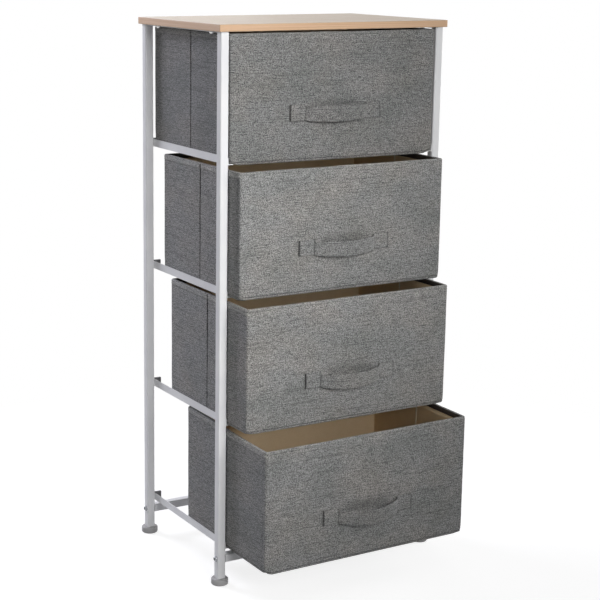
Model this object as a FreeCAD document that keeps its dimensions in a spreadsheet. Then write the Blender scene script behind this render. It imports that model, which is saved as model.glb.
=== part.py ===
# Four-drawer dresser: a white steel tube frame under a wood-effect top board, with four soft
# fabric drawers that slide on L-section rails.
#
# Frame of reference: +X to the right, +Y to the back, +Z up, in millimetres. The origin is on the
# floor, under the middle of the whole piece as it stands with its drawers part open.

import FreeCAD, Part
import math
import os
from types import SimpleNamespace

import Sketcher

LEVELS = (1, 2, 3, 4)              # drawer levels, 1 at the top
SIDES = {"left": -1, "right": 1}   # side of the frame and its sign along X
ENDS = {"front": -1, "rear": 1}    # end of the frame and its sign along Y

SIZES = (
    # overall
    ("board_width", 450, "top board, left to right"),
    ("board_depth", 300, "top board, front to back"),
    ("board_thick", 12, "top board"),
    ("board_overhang", 5, "board past the posts, all round"),
    ("board_edge_round", 1, "rounding of the board's edges"),
    # side frames
    ("tube_side", 15, "square tube of the posts and cross rails"),
    ("tube_wall", 1, "wall of the square tube"),
    ("tube_round", 2.5, "outer corner radius of the square tube"),
    ("rail_height", 13, "upright flange of a drawer rail"),
    ("rail_shelf", 10, "flange under the drawer"),
    ("rail_thick", 1.2, "sheet of the rail"),
    ("rail_inset", 2, "rail ends behind the posts' outer faces"),
    ("rail_nose_round", 4, "rounded upper corner at the rail's front end"),
    ("leg_clear", 64.5, "floor to the underside of the lowest rail"),
    ("cross_rail_centre", 47.5, "floor to the middle of the cross rails"),
    ("top_bar_width", 12, "flat bar under the board, along the posts' inner faces"),
    ("top_bar_thick", 2, "the same bar"),
    ("screw_from_post", 33, "board screw from the nearer post"),
    ("stop_width", 12, "drawer stop, across"),
    ("stop_thick", 4, "drawer stop, front to back"),
    ("stop_rise", 2, "drawer stop above the rail's upright flange"),
    # feet
    ("foot_diameter", 30, "foot cap"),
    ("foot_height", 12, "foot cap"),
    ("foot_floor", 3, "cap under the end of the tube"),
    ("foot_edge_round", 3, "rounding of the cap's edges"),
    ("foot_fit", 0.1, "gap between cap and tube, each side"),
    # fasteners
    ("bolt_diameter", 6, "cross rail bolt"),
    ("bolt_head_diameter", 10.5, "button head"),
    ("bolt_head_height", 3.3, "button head"),
    ("bolt_socket", 4, "hex socket, across flats"),
    ("bolt_socket_deep", 2, "hex socket"),
    ("bolt_grip", 12, "bolt length past the post, inside the cross rail"),
    ("bolt_fit", 0.2, "gap round the bolt in the post, each side"),
    ("insert_length", 16, "threaded insert in the end of a cross rail"),
    ("insert_fit", 0.05, "gap round the insert and in its thread, each side"),
    ("screw_diameter", 4, "board screw"),
    ("screw_head_diameter", 9, "pan head"),
    ("screw_head_height", 3.4, "pan head"),
    ("screw_bite", 8, "screw length inside the board"),
    ("screw_point", 4, "tapered end of the screw"),
    ("screw_hole_spare", 1, "hole in the board past the screw's point"),
    ("screw_recess_span", 4.4, "cross recess, end to end"),
    ("screw_recess_deep", 1.2, "cross recess"),
    ("screw_recess_slot", 1, "width of one slot of the cross recess"),
    ("screw_fit", 0.05, "gap round the screw, each side"),
    # drawers
    ("drawer_height", 211, "fabric box, bottom to rim"),
    ("drawer_gap", 11.5, "rim of one drawer to the bottom of the next one up"),
    ("drawer_side_gap", 1.3, "drawer to the upright flange, each side"),
    ("seat_gap", 0.3, "drawer above its rail, and in front of its stop"),
    ("board_gap", 3.2, "rim of the top drawer to the board"),
    ("cloth_thick", 1.2, "outer cloth"),
    ("stiffener_thick", 3, "boards inside the walls"),
    ("stiffener_round", 9, "lower corners of those boards at the drawer's corners"),
    ("lining_thick", 0.8, "inner cloth"),
    ("corner_round", 3.5, "upright outer corners of the cloth box"),
    ("fold_gap", 5, "between the two half panels of a side wall"),
    ("panel_gap", 0.2, "between neighbouring boards"),
    ("base_thick", 3, "loose base board"),
    ("base_gap", 1, "round the base board"),
    # pull strap
    ("strap_height", 27, "strap, top edge to bottom edge"),
    ("strap_thick", 2, "strap"),
    ("strap_span", 180, "strap, end to end"),
    ("strap_patch", 30, "flat sewn end of the strap"),
    ("strap_bow", 20, "loop in front of the drawer"),
    ("strap_level", 78.5, "drawer bottom to the middle of the strap"),
    # how far each drawer stands open
    ("opening_1", 0, "top drawer, closed"),
    ("opening_2", 35.5, "second drawer"),
    ("opening_3", 63, "third drawer"),
    ("opening_4", 128, "bottom drawer"),
)

# Outlines of the screw heads, from the crown to the widest place above the seat: the share of the
# head's radius and the share of its height.
BUTTON_CROWN = ((0.62, 1), (0.9, 0.55), (1, 0.12))
PAN_CROWN = ((0.6, 1), (0.92, 0.65), (1, 0.2))

SQUARE_HOLLOW_ROUND = 3   # largest rounding outside the corner of a square hollow, in walls
TINY = 1e-4               # what counts as no length or no volume


class Formula:
    """A size as an expression that the document recomputes, with its value at this moment."""

    def __init__(self, text, number):
        self.text = text
        self.number = float(number)

    def __add__(self, other):
        return joined(self, "+", other, self.number + number_of(other))

    def __radd__(self, other):
        return joined(other, "+", self, number_of(other) + self.number)

    def __sub__(self, other):
        return joined(self, "-", other, self.number - number_of(other))

    def __mul__(self, other):
        return joined(self, "*", other, self.number * number_of(other))

    def __rmul__(self, other):
        return joined(other, "*", self, number_of(other) * self.number)

    def __truediv__(self, other):
        return joined(self, "/", other, self.number / number_of(other))

    def __neg__(self):
        return -1 * self


def number_of(thing):
    return thing.number if isinstance(thing, Formula) else float(thing)


def text_of(thing):
    return thing.text if isinstance(thing, Formula) else f"{thing:.9g}"


def joined(left, sign, right, number):
    return Formula(f"({text_of(left)} {sign} {text_of(right)})", number)


def largest(*formulas):
    return Formula(f"max({'; '.join(map(text_of, formulas))})", max(map(number_of, formulas)))


def smallest(*formulas):
    return Formula(f"min({'; '.join(map(text_of, formulas))})", min(map(number_of, formulas)))


doc = FreeCAD.newDocument("fabric_drawer_dresser")
sheet = doc.addObject("Spreadsheet::Sheet", "Sizes")
for row, (alias, number, meaning) in enumerate(SIZES, start=1):
    sheet.set(f"A{row}", alias)
    sheet.set(f"B{row}", str(number))
    sheet.set(f"C{row}", meaning)
    sheet.setAlias(f"B{row}", alias)
doc.recompute()
size = SimpleNamespace(**{
    alias: Formula(f"Sizes.{alias}", number) for alias, number, meaning in SIZES
})


# ---------------------------------------------------------------- places that pieces share

OPENING = {
    1: size.opening_1,
    2: size.opening_2,
    3: size.opening_3,
    4: size.opening_4,
}
FRAME_WIDTH = size.board_width - 2 * size.board_overhang
FRAME_DEPTH = size.board_depth - 2 * size.board_overhang
INNER_WIDTH = FRAME_WIDTH - 2 * size.tube_side           # between the posts' inner faces
POST_X = FRAME_WIDTH / 2 - size.tube_side / 2            # middle of a post, from the centre plane
POST_Y = FRAME_DEPTH / 2 - size.tube_side / 2            # the same, from the cabinet's middle
TUBE_BORE = size.tube_side - 2 * size.tube_wall
TUBE_ROUND = smallest(size.tube_round, SQUARE_HOLLOW_ROUND * size.tube_wall)
LEVEL_PITCH = size.drawer_height + size.drawer_gap
SEAT_RISE = size.rail_thick + size.seat_gap              # rail's underside to drawer's bottom
TOP_DRAWER_RIM = size.leg_clear + 3 * LEVEL_PITCH + SEAT_RISE + size.drawer_height
BOARD_Z = TOP_DRAWER_RIM + size.board_gap                # underside of the top board
POST_LENGTH = BOARD_Z - size.foot_floor
STOP_Y = FRAME_DEPTH / 2 - size.tube_side                # front face of the drawer stops
TOP_BAR_X = INNER_WIDTH / 2 + size.top_bar_width / 2     # middle of a top bar
SCREW_Y = STOP_Y - size.screw_from_post                  # board screw, from the cabinet's middle
SCREW_HOLE = size.screw_diameter + 2 * size.screw_fit

# The cabinet stands behind the origin by half of what its front reaches past its back.
FRONT_REACH = FRAME_DEPTH / 2 + largest(*OPENING.values()) + size.strap_bow
REAR_REACH = largest(size.board_depth / 2, POST_Y + size.foot_diameter / 2)
CABINET_Y = (FRONT_REACH - REAR_REACH) / 2

DRAWER_WIDTH = INNER_WIDTH - 2 * size.rail_thick - 2 * size.drawer_side_gap
DRAWER_DEPTH = FRAME_DEPTH - size.tube_side - size.seat_gap
SKIN = size.cloth_thick + size.stiffener_thick           # drawer's outer face to its lining
WALL = SKIN + size.lining_thick                          # drawer's outer face to its inside
CAVITY_HEIGHT = size.drawer_height - 2 * size.cloth_thick


def rail_z(level):
    """Underside of the rails that carry a drawer."""
    return size.leg_clear + (LEVELS[-1] - level) * LEVEL_PITCH


def drawer_z(level):
    return rail_z(level) + SEAT_RISE


def drawer_front_y(level):
    return CABINET_Y - FRAME_DEPTH / 2 - OPENING[level]


# ---------------------------------------------------------------- ways to build a piece

parts = []


def keep(piece):
    """Marks a finished sub-part, whose label names its file."""
    parts.append(piece)


def bind(thing, name, amount):
    """Ties one property of an object to a formula."""
    thing.setExpression(name, text_of(amount))


def place(piece, x=0, y=0, z=0):
    bind(piece, "Placement.Base.x", x)
    bind(piece, "Placement.Base.y", y)
    bind(piece, "Placement.Base.z", z)
    return piece


def new_body(name):
    body = doc.addObject("PartDesign::Body", name)
    body.Label = name
    return body


def new_sketch(body, name, plane="XY_Plane", height=None):
    """A sketch on one of the body's own planes, or at a height above it."""
    sketch = body.newObject("Sketcher::SketchObject", name)
    own_plane = next(o for o in body.Origin.OriginFeatures if o.Role == plane)
    sketch.AttachmentSupport = [(own_plane, "")]
    sketch.MapMode = "FlatFace"
    if height is not None:
        bind(sketch, "AttachmentOffset.Base.z", height)
    return sketch


def dimension(sketch, kind, *where, amount):
    """Adds a driving dimension to a sketch and ties it to a formula."""
    index = sketch.addConstraint(Sketcher.Constraint(kind, *where, number_of(amount)))
    bind(sketch, f"Constraints[{index}]", amount)


def pin(sketch, edge, end, x, y):
    """Holds one end of a sketch edge at a point; a plain 0 puts it on the axis."""
    for kind, axis, amount in (("DistanceX", -2, x), ("DistanceY", -1, y)):
        if isinstance(amount, Formula):
            dimension(sketch, kind, -1, 1, edge, end, amount=amount)
        else:
            sketch.addConstraint(Sketcher.Constraint("PointOnObject", edge, end, axis))


def vector(x, y):
    return FreeCAD.Vector(number_of(x), number_of(y), 0)


def outline(sketch, points, bows=None):
    """A closed outline through the points. The edges numbered in bows are arcs instead, and bulge
    by the given amount towards the sketch's -Y."""
    bows = bows or {}
    first = sketch.GeometryCount
    ends = []
    for i, (x, y) in enumerate(points):
        next_x, next_y = points[(i + 1) % len(points)]
        start, stop = vector(x, y), vector(next_x, next_y)
        if i in bows:
            crest = (start + stop) / 2 - vector(0, bows[i])
            edge = sketch.addGeometry(Part.Arc(start, crest, stop), False)
            half = (next_x - x) / 2
            radius = (half * half + bows[i] * bows[i]) / (2 * bows[i])
            dimension(sketch, "Radius", edge, amount=radius)
        else:
            edge = sketch.addGeometry(Part.LineSegment(start, stop), False)
        forward = sketch.getPoint(edge, 1).distanceToPoint(start) < TINY
        ends.append((1, 2) if forward else (2, 1))
    for i, (x, y) in enumerate(points):
        follower = (i + 1) % len(points)
        sketch.addConstraint(Sketcher.Constraint(
            "Coincident", first + i, ends[i][1], first + follower, ends[follower][0]
        ))
        pin(sketch, first + i, ends[i][0], x, y)


def rectangle(sketch, width, depth, middle_x=0, middle_y=0):
    """A rectangle by its two sides and its middle."""
    left, right = middle_x + -width / 2, middle_x + width / 2
    near, far = middle_y + -depth / 2, middle_y + depth / 2
    outline(sketch, ((left, near), (right, near), (right, far), (left, far)))


def circle(sketch, diameter, x=0, y=0):
    ring = Part.Circle(vector(x, y), FreeCAD.Vector(0, 0, 1), number_of(diameter) / 2)
    edge = sketch.addGeometry(ring, False)
    pin(sketch, edge, 3, x, y)
    dimension(sketch, "Diameter", edge, amount=diameter)


def pad(body, sketch, length, midplane=False):
    feature = body.newObject("PartDesign::Pad", "Pad")
    feature.Profile = sketch
    bind(feature, "Length", length)
    feature.Midplane = midplane


def turn(body, sketch):
    """Turns a profile about the sketch's upright axis."""
    feature = body.newObject("PartDesign::Revolution", "Revolution")
    feature.Profile = sketch
    feature.ReferenceAxis = (sketch, ["V_Axis"])
    feature.Angle = 360


def pocket(body, sketch, length, midplane=False):
    """Cuts a sketch out of the body, upwards from it, and makes sure that something goes."""
    doc.recompute()
    before = body.Shape.Volume
    feature = body.newObject("PartDesign::Pocket", "Pocket")
    feature.Profile = sketch
    bind(feature, "Length", length)
    feature.Midplane = midplane
    feature.Reversed = not midplane
    doc.recompute()
    if body.Shape.Volume > before - TINY:
        raise RuntimeError(f"{body.Label}: {sketch.Label} cuts nothing")


def round_edges(body, chosen, radius):
    """Rounds the edges that a test picks out of what the body has so far."""
    doc.recompute()
    base = body.Tip
    edges = [f"Edge{i}" for i, edge in enumerate(base.Shape.Edges, start=1) if chosen(edge)]
    if not edges:
        raise RuntimeError(f"{body.Label}: no edges to round")
    feature = body.newObject("PartDesign::Fillet", "Fillet")
    feature.Base = (base, edges)
    bind(feature, "Radius", radius)


def along_x(edge):
    return edge.BoundBox.XLength > TINY and edge.BoundBox.YLength + edge.BoundBox.ZLength < TINY


def along_y(edge):
    return edge.BoundBox.YLength > TINY and edge.BoundBox.XLength + edge.BoundBox.ZLength < TINY


def along_z(edge):
    return edge.BoundBox.ZLength > TINY and edge.BoundBox.XLength + edge.BoundBox.YLength < TINY


def horizontal(edge):
    return edge.BoundBox.ZLength < TINY


def group(name, pieces):
    """Like pieces that share one node as separate solids."""
    compound = doc.addObject("Part::Compound", name)
    compound.Label = name
    compound.Links = pieces
    keep(compound)


def block(name, length, width, height, x, y, z):
    """A plain board or pad by its sides and its lowest corner."""
    piece = doc.addObject("Part::Box", name)
    piece.Label = name
    bind(piece, "Length", length)
    bind(piece, "Width", width)
    bind(piece, "Height", height)
    return place(piece, x, y, z)


# ---------------------------------------------------------------- top board

def top_board():
    """Wood-effect board with a blind hole for each of its screws."""
    body = new_body("top_board")
    face = new_sketch(body, "board_face")
    rectangle(face, size.board_width, size.board_depth)
    pad(body, face, size.board_thick)
    round_edges(body, lambda edge: True, size.board_edge_round)
    holes = new_sketch(body, "board_screw_holes")
    for x in SIDES.values():
        for y in ENDS.values():
            circle(holes, SCREW_HOLE, x * TOP_BAR_X, y * SCREW_Y)
    pocket(body, holes, size.screw_bite + size.screw_hole_spare)
    keep(place(body, y=CABINET_Y, z=BOARD_Z))


# ---------------------------------------------------------------- side frames

def post(end, side):
    """Square tube from the foot cap to the board, with a cross hole for the rail's bolt."""
    body = new_body(f"{end}_{side}_post")
    section = new_sketch(body, "tube_section")
    rectangle(section, size.tube_side, size.tube_side)
    pad(body, section, POST_LENGTH)
    round_edges(body, along_z, TUBE_ROUND)
    bore = new_sketch(body, "tube_bore")
    rectangle(bore, TUBE_BORE, TUBE_BORE)
    pocket(body, bore, POST_LENGTH)
    hole = new_sketch(body, "bolt_hole", "YZ_Plane")
    circle(hole, size.bolt_diameter + 2 * size.bolt_fit, 0, size.cross_rail_centre - size.foot_floor)
    pocket(body, hole, 2 * size.tube_side, midplane=True)
    keep(place(body, SIDES[side] * POST_X, CABINET_Y + ENDS[end] * POST_Y, size.foot_floor))


def foot(end, side):
    """Round plastic cap pushed over the end of the post."""
    body = new_body(f"{end}_{side}_foot")
    base = new_sketch(body, "cap_round")
    circle(base, size.foot_diameter)
    pad(body, base, size.foot_height)
    round_edges(body, horizontal, size.foot_edge_round)
    socket = new_sketch(body, "tube_socket", height=size.foot_floor)
    socket_side = size.tube_side + 2 * size.foot_fit
    rectangle(socket, socket_side, socket_side)
    pocket(body, socket, size.foot_height)
    keep(place(body, SIDES[side] * POST_X, CABINET_Y + ENDS[end] * POST_Y))


def drawer_rail(level, side):
    """L-section runner along the inner faces of the two posts of one side."""
    body = new_body(f"{side}_rail_{level}")
    section = new_sketch(body, "rail_section", "XZ_Plane")
    inwards = -SIDES[side]
    shelf_edge = inwards * size.rail_shelf
    flange_face = inwards * size.rail_thick
    outline(section, (
        (0, 0),
        (shelf_edge, 0),
        (shelf_edge, size.rail_thick),
        (flange_face, size.rail_thick),
        (flange_face, size.rail_height),
        (0, size.rail_height),
    ))
    pad(body, section, FRAME_DEPTH - 2 * size.rail_inset, midplane=True)
    doc.recompute()
    whole = body.Shape.BoundBox

    def front_top(edge):
        here = edge.BoundBox
        return along_x(edge) and here.YMax < whole.YMin + TINY and here.ZMin > whole.ZMax - TINY

    round_edges(body, front_top, size.rail_nose_round)
    keep(place(body, SIDES[side] * INNER_WIDTH / 2, CABINET_Y, rail_z(level)))


def drawer_stops():
    """A grey pad standing on the rear end of each rail, inside the rear post."""
    pads = []
    height = size.rail_height - size.rail_thick + size.stop_rise
    for level in LEVELS:
        for side, sign in SIDES.items():
            middle_x = sign * (INNER_WIDTH / 2 - size.rail_thick - size.stop_width / 2)
            pads.append(block(
                f"stop_{side}_{level}",
                size.stop_width,
                size.stop_thick,
                height,
                middle_x - size.stop_width / 2,
                CABINET_Y + STOP_Y,
                rail_z(level) + size.rail_thick,
            ))
    group("drawer_stops", pads)


def top_bar(side):
    """Thin flat bar between the tops of the two posts of one side."""
    body = new_body(f"{side}_top_bar")
    face = new_sketch(body, "bar_face")
    rectangle(face, size.top_bar_width, 2 * STOP_Y)
    for y in ENDS.values():
        circle(face, SCREW_HOLE, 0, y * SCREW_Y)
    pad(body, face, size.top_bar_thick)
    keep(place(body, SIDES[side] * TOP_BAR_X, CABINET_Y, BOARD_Z - size.top_bar_thick))


def cross_rail(end):
    """Square tube between the two side frames, just below the lowest drawer."""
    body = new_body(f"{end}_cross_rail")
    section = new_sketch(body, "cross_rail_section", "YZ_Plane")
    rectangle(section, size.tube_side, size.tube_side)
    pad(body, section, INNER_WIDTH, midplane=True)
    round_edges(body, along_x, TUBE_ROUND)
    bore = new_sketch(body, "cross_rail_bore", "YZ_Plane")
    rectangle(bore, TUBE_BORE, TUBE_BORE)
    pocket(body, bore, 2 * INNER_WIDTH, midplane=True)
    keep(place(body, 0, CABINET_Y + ENDS[end] * POST_Y, size.cross_rail_centre))


# ---------------------------------------------------------------- fasteners

def cross_rail_inserts():
    """Threaded blocks in the ends of the cross rails."""
    blocks = []
    side_length = TUBE_BORE - 2 * size.insert_fit
    for end, y in ENDS.items():
        for side, x in SIDES.items():
            body = new_body(f"insert_{end}_{side}")
            section = new_sketch(body, "insert_section", "YZ_Plane")
            rectangle(section, side_length, side_length)
            circle(section, size.bolt_diameter + 2 * size.insert_fit)
            pad(body, section, size.insert_length, midplane=True)
            middle_x = x * (INNER_WIDTH / 2 - size.insert_length / 2)
            place(body, middle_x, CABINET_Y + y * POST_Y, size.cross_rail_centre)
            blocks.append(body)
    group("cross_rail_inserts", blocks)


def headed_body(name, crown, head_diameter, head_height, shank_diameter, length, point):
    """A screw or bolt along +Z, with the seat of its head on the body's XY plane."""
    body = new_body(name)
    profile = new_sketch(body, "profile", "XZ_Plane")
    shank = shank_diameter / 2
    outline(profile, (
        (0, -head_height),
        *((radius * head_diameter / 2, -height * head_height) for radius, height in crown),
        (head_diameter / 2, 0),
        (shank, 0),
        (shank, length - point),
        (0, length),
    ))
    turn(body, profile)
    return body


def button_bolt(name):
    """Button-head bolt with a hex socket."""
    body = headed_body(
        name,
        BUTTON_CROWN,
        size.bolt_head_diameter,
        size.bolt_head_height,
        size.bolt_diameter,
        size.tube_side + size.bolt_grip,
        0,
    )
    socket = new_sketch(body, "hex_socket", height=-size.bolt_head_height)
    corner = size.bolt_socket / math.sqrt(3)
    half_flat = size.bolt_socket / 2
    outline(socket, (
        (corner, 0),
        (corner / 2, half_flat),
        (-corner / 2, half_flat),
        (-corner, 0),
        (-corner / 2, -half_flat),
        (corner / 2, -half_flat),
    ))
    pocket(body, socket, size.bolt_socket_deep)
    return body


def cross_rail_bolts():
    """Bolts through the posts into the inserts, their heads on the outer faces."""
    bolts = []
    for end, y in ENDS.items():
        for side, x in SIDES.items():
            bolt = button_bolt(f"bolt_{end}_{side}")
            inwards = FreeCAD.Rotation(FreeCAD.Vector(0, 1, 0), -90 * x)
            bolt.Placement = FreeCAD.Placement(FreeCAD.Vector(), inwards)
            place(bolt, x * FRAME_WIDTH / 2, CABINET_Y + y * POST_Y, size.cross_rail_centre)
            bolts.append(bolt)
    group("cross_rail_bolts", bolts)


def pan_screw(name):
    """Pan-head screw with a cross recess."""
    body = headed_body(
        name,
        PAN_CROWN,
        size.screw_head_diameter,
        size.screw_head_height,
        size.screw_diameter,
        size.top_bar_thick + size.screw_bite,
        size.screw_point,
    )
    for slot_name, width, depth in (
        ("slot_across", size.screw_recess_span, size.screw_recess_slot),
        ("slot_along", size.screw_recess_slot, size.screw_recess_span),
    ):
        slot = new_sketch(body, slot_name, height=-size.screw_head_height)
        rectangle(slot, width, depth)
        pocket(body, slot, size.screw_recess_deep)
    return body


def board_screws():
    """Screws from below, through the side bars into the board."""
    screws = []
    for end, y in ENDS.items():
        for side, x in SIDES.items():
            screw = pan_screw(f"screw_{end}_{side}")
            place(screw, x * TOP_BAR_X, CABINET_Y + y * SCREW_Y, BOARD_Z - size.top_bar_thick)
            screws.append(screw)
    group("board_screws", screws)


# ---------------------------------------------------------------- drawers

def drawer_cover(level):
    """Outer cloth: a box round the stiffener boards, turned in over the rim."""
    body = new_body(f"drawer_{level}_cover")
    middle = DRAWER_DEPTH / 2
    outer = new_sketch(body, "cover_outer")
    rectangle(outer, DRAWER_WIDTH, DRAWER_DEPTH, 0, middle)
    pad(body, outer, size.drawer_height)
    round_edges(body, along_z, smallest(size.corner_round, SQUARE_HOLLOW_ROUND * size.cloth_thick))
    hollow = new_sketch(body, "cover_hollow", height=size.cloth_thick)
    hollow_width = DRAWER_WIDTH - 2 * size.cloth_thick
    hollow_depth = DRAWER_DEPTH - 2 * size.cloth_thick
    rectangle(hollow, hollow_width, hollow_depth, 0, middle)
    pocket(body, hollow, CAVITY_HEIGHT)
    mouth = new_sketch(body, "cover_mouth", height=size.cloth_thick)
    rectangle(mouth, DRAWER_WIDTH - 2 * WALL, DRAWER_DEPTH - 2 * WALL, 0, middle)
    pocket(body, mouth, size.drawer_height)
    keep(place(body, 0, drawer_front_y(level), drawer_z(level)))


def stiffener(name, plane, length, rounded, x, y, z):
    """An upright board by the middle of its foot. A test picks its rounded lower corners."""
    body = new_body(name)
    face = new_sketch(body, "board_face", plane)
    rectangle(face, length, CAVITY_HEIGHT, 0, CAVITY_HEIGHT / 2)
    pad(body, face, size.stiffener_thick, midplane=True)
    round_edges(body, lambda edge: edge.BoundBox.ZMax < TINY and rounded(edge), size.stiffener_round)
    return place(body, x, y, z)


def drawer_boards(level):
    """Stiffeners: whole boards front and back, and two half panels in each side wall. The corners
    that sit in the drawer's bottom corners are rounded."""
    front_y = drawer_front_y(level)
    middle_y = front_y + DRAWER_DEPTH / 2
    bottom = drawer_z(level) + size.cloth_thick
    inner_width = DRAWER_WIDTH - 2 * size.cloth_thick
    skin_middle = size.cloth_thick + size.stiffener_thick / 2
    for end, name in (("front", "front"), ("rear", "back")):
        y = middle_y + ENDS[end] * (DRAWER_DEPTH / 2 - skin_middle)
        name = f"drawer_{level}_{name}_board"
        keep(stiffener(name, "XZ_Plane", inner_width, along_y, 0, y, bottom))
    half = (DRAWER_DEPTH - 2 * SKIN - size.fold_gap) / 2 - size.panel_gap
    for side, sign in SIDES.items():
        x = sign * (DRAWER_WIDTH / 2 - skin_middle)
        panels = []
        for end, forward in ENDS.items():
            def outer_end(edge, forward=forward):
                return along_x(edge) and edge.BoundBox.Center.y * forward > 0

            name = f"drawer_{level}_{side}_{end}_panel"
            y = middle_y + forward * (size.fold_gap / 2 + half / 2)
            panels.append(stiffener(name, "YZ_Plane", half, outer_end, x, y, bottom))
        group(f"drawer_{level}_{side}_boards", panels)


def drawer_lining(level):
    """Inner cloth: an open box inside the stiffener boards."""
    body = new_body(f"drawer_{level}_lining")
    middle = DRAWER_DEPTH / 2
    outer = new_sketch(body, "lining_outer")
    rectangle(outer, DRAWER_WIDTH - 2 * SKIN, DRAWER_DEPTH - 2 * SKIN, 0, middle)
    pad(body, outer, CAVITY_HEIGHT)
    inside = new_sketch(body, "lining_inside", height=size.lining_thick)
    rectangle(inside, DRAWER_WIDTH - 2 * WALL, DRAWER_DEPTH - 2 * WALL, 0, middle)
    pocket(body, inside, size.drawer_height)
    keep(place(body, 0, drawer_front_y(level), drawer_z(level) + size.cloth_thick))


def drawer_base_board(level):
    """Loose board that keeps the box open."""
    margin = WALL + size.base_gap
    width = DRAWER_WIDTH - 2 * margin
    depth = DRAWER_DEPTH - 2 * margin
    y = drawer_front_y(level) + margin
    z = drawer_z(level) + size.cloth_thick + size.lining_thick
    keep(block(f"drawer_{level}_base_board", width, depth, size.base_thick, -width / 2, y, z))


def drawer_handle(level):
    """Pull strap: two flat ends on the drawer's front, and a loop that bows out between them."""
    body = new_body(f"drawer_{level}_handle")
    plan = new_sketch(body, "strap_plan")
    end_x = size.strap_span / 2
    loop_x = end_x - size.strap_patch
    front = -size.strap_thick
    bow = size.strap_bow - size.strap_thick
    outline(plan, (
        (-end_x, 0),
        (-loop_x, 0),
        (loop_x, 0),
        (end_x, 0),
        (end_x, front),
        (loop_x, front),
        (-loop_x, front),
        (-end_x, front),
    ), bows={1: bow, 5: bow})
    pad(body, plan, size.strap_height)
    bottom = drawer_z(level) + size.strap_level - size.strap_height / 2
    keep(place(body, 0, drawer_front_y(level), bottom))


# ---------------------------------------------------------------- assembly

top_board()
for end in ENDS:
    for side in SIDES:
        post(end, side)
        foot(end, side)
for level in LEVELS:
    for side in SIDES:
        drawer_rail(level, side)
drawer_stops()
for side in SIDES:
    top_bar(side)
for end in ENDS:
    cross_rail(end)
cross_rail_inserts()
cross_rail_bolts()
board_screws()
for level in LEVELS:
    drawer_cover(level)
    drawer_boards(level)
    drawer_lining(level)
    drawer_base_board(level)
    drawer_handle(level)

doc.recompute()
for thing in doc.Objects:
    if "Invalid" in thing.State or "Error" in thing.State:
        raise RuntimeError(f"{thing.Label} failed: {thing.State}")
for piece in parts:
    if piece.Shape.isNull() or not piece.Shape.isValid() or not piece.Shape.Solids:
        raise RuntimeError(f"{piece.Label} has no valid solid")

os.makedirs("parts", exist_ok=True)
for piece in parts:
    piece.Shape.exportStep(f"parts/{piece.Label}.step")
    print(f"{piece.Label}: {len(piece.Shape.Solids)} solids, {piece.Shape.Volume:.1f} mm3")
print(f"{len(parts)} parts")
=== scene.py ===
import math

import bpy
from mathutils import Matrix, Vector, noise


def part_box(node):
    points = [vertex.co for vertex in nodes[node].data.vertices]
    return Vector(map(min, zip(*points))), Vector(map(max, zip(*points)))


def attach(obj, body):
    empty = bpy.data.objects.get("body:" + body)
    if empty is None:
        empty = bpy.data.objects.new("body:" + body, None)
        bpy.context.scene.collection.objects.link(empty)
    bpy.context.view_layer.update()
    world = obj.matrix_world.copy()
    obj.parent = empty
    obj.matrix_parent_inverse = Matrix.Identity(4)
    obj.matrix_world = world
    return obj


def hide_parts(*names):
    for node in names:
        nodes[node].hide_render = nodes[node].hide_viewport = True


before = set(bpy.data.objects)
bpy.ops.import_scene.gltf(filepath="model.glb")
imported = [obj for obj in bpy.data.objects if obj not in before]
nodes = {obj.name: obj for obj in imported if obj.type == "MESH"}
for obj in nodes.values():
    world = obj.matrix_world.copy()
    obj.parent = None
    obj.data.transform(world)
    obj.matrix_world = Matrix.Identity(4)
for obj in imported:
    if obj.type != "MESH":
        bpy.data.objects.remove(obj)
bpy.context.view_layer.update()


# ---------------------------------------------------------------- camera
# A long lens stands to the left of the front, a little above the board, and looks slightly down.

EYE = Vector((-1.39946, -2.219995, 1.074885))
TURN = math.radians(29.007)      # from straight at the front, towards the right
DIP = math.radians(12.464)       # below the horizon
TILT = math.radians(0.39)

ahead = Vector((math.sin(TURN) * math.cos(DIP), math.cos(TURN) * math.cos(DIP), -math.sin(DIP)))
level_right = Vector((math.cos(TURN), -math.sin(TURN), 0))
level_up = level_right.cross(ahead)
right = level_right * math.cos(TILT) + level_up * math.sin(TILT)
up = level_up * math.cos(TILT) - level_right * math.sin(TILT)

camera = bpy.data.objects.new("camera", bpy.data.cameras.new("camera"))
camera.matrix_world = Matrix.Translation(EYE) @ Matrix((right, up, -ahead)).transposed().to_4x4()
camera.data.lens = 90.84
camera.data.sensor_width = 36
camera.data.shift_x = 0.125
camera.data.shift_y = -0.025
camera.data.dof.use_dof = False
bpy.context.scene.collection.objects.link(camera)
bpy.context.scene.camera = camera
bpy.context.scene.view_settings.view_transform = "Standard"


# ---------------------------------------------------------------- studio
# A soft lamp with a grid stands in front, above the board, and is aimed past the left edge of the
# second drawer. Another stands to the left and behind, and weaker ones light the right side and the
# back, in a plain white room. The floor is a pale sweep that keeps a faint shadow.

def soft_lamp(name, place, target, side, power, tint=(1, 1, 1), beam=180):
    lamp = bpy.data.objects.new(name, bpy.data.lights.new(name, "AREA"))
    lamp.data.shape = "SQUARE"
    lamp.data.size = side
    lamp.data.energy = power
    lamp.data.color = tint
    lamp.data.spread = math.radians(beam)
    lamp.location = place
    lamp.visible_camera = False
    aim = Vector(target) - Vector(place)
    lamp.rotation_mode = "QUATERNION"
    lamp.rotation_quaternion = aim.to_track_quat("-Z", "Y")
    bpy.context.scene.collection.objects.link(lamp)


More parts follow.
